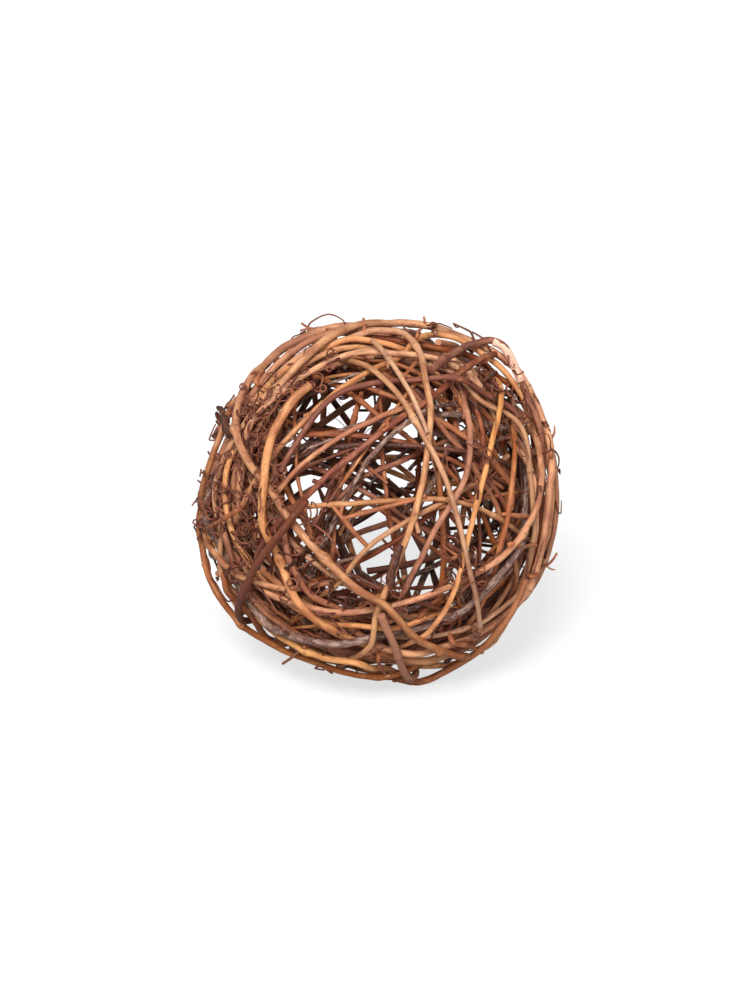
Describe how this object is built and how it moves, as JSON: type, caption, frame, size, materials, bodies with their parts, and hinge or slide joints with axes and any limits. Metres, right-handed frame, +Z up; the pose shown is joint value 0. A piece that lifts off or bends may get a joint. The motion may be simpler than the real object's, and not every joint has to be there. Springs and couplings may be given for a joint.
{
  "type": "vine ball",
  "caption": "Open, hollow decorative ball wound and woven from dried grapevine canes, with tendrils and flaking bark, that rests on a small worn spot",
  "frame": {"origin": "On the resting plane, under the middle of the ball's bounding box", "axes": "+Z up, out of the resting plane; +X right and -Y towards the viewer of the show face, which looks 25 degrees up from -Y"},
  "size_m": [0.152, 0.148, 0.1462],
  "materials": {
    "golden_bark": "dried vine bark, satin, golden tan",
    "russet_bark": "dried vine bark, satin, red-brown",
    "dark_bark": "dried vine bark, matt, dark purple-brown",
    "grey_bark": "dried vine bark, matt and flaking, grey-brown",
    "pale_bark": "dried vine stripped of bark, matt, straw"
  },
  "bodies": {
    "root": {"rim_hoop": "golden_bark", "long_diagonal": "golden_bark", "left_bow": "golden_bark", "upper_sweep": "golden_bark", "golden_chord": "golden_bark", "dark_arch": "russet_bark", "bent_spine": "golden_bark", "slant_over": "russet_bark", "slant_under": "golden_bark", "pale_drop": "pale_bark", "right_drop": "russet_bark", "right_fall": "golden_bark", "crescent": "golden_bark", "left_hoop": "golden_bark", "left_rim": "golden_bark", "lower_left_rim": "golden_bark", "bottom_loop": "golden_bark", "inner_left_rim": "golden_bark", "grey_band": "grey_bark", "left_strut": "dark_bark", "russet_brace": "russet_bark", "under_diagonal": "golden_bark", "low_sweep": "russet_bark", "waist": "golden_bark", "light_cross": "pale_bark", "low_cross": "russet_bark", "pale_slip": "grey_bark", "inner_upright": "russet_bark", "inner_slant": "russet_bark", "twin_slant": "russet_bark", "thin_tie": "dark_bark", "top_slip": "golden_bark", "right_slant": "russet_bark", "grey_tie": "grey_bark", "yellow_hoop": "pale_bark", "right_upright": "golden_bark", "top_fall": "pale_bark", "top_hoop": "russet_bark", "escaped_bow": "russet_bark", "orange_upright": "golden_bark", "right_hook": "golden_bark", "outer_right_rim": "golden_bark", "inner_right_rim": "russet_bark", "left_upright": "golden_bark", "foot_vine_1": "russet_bark", "foot_vine_2": "russet_bark", "foot_vine_3": "russet_bark", "back_vine_1": "russet_bark", "back_vine_2": "dark_bark", "back_vine_3": "grey_bark", "back_vine_4": "golden_bark", "back_vine_5": "russet_bark", "back_vine_6": "dark_bark", "back_vine_7": "grey_bark", "back_vine_8": "golden_bark", "back_vine_9": "russet_bark", "back_vine_10": "dark_bark", "back_vine_11": "grey_bark", "back_vine_12": "golden_bark", "back_vine_13": "russet_bark"}
  },
  "joints": []
}
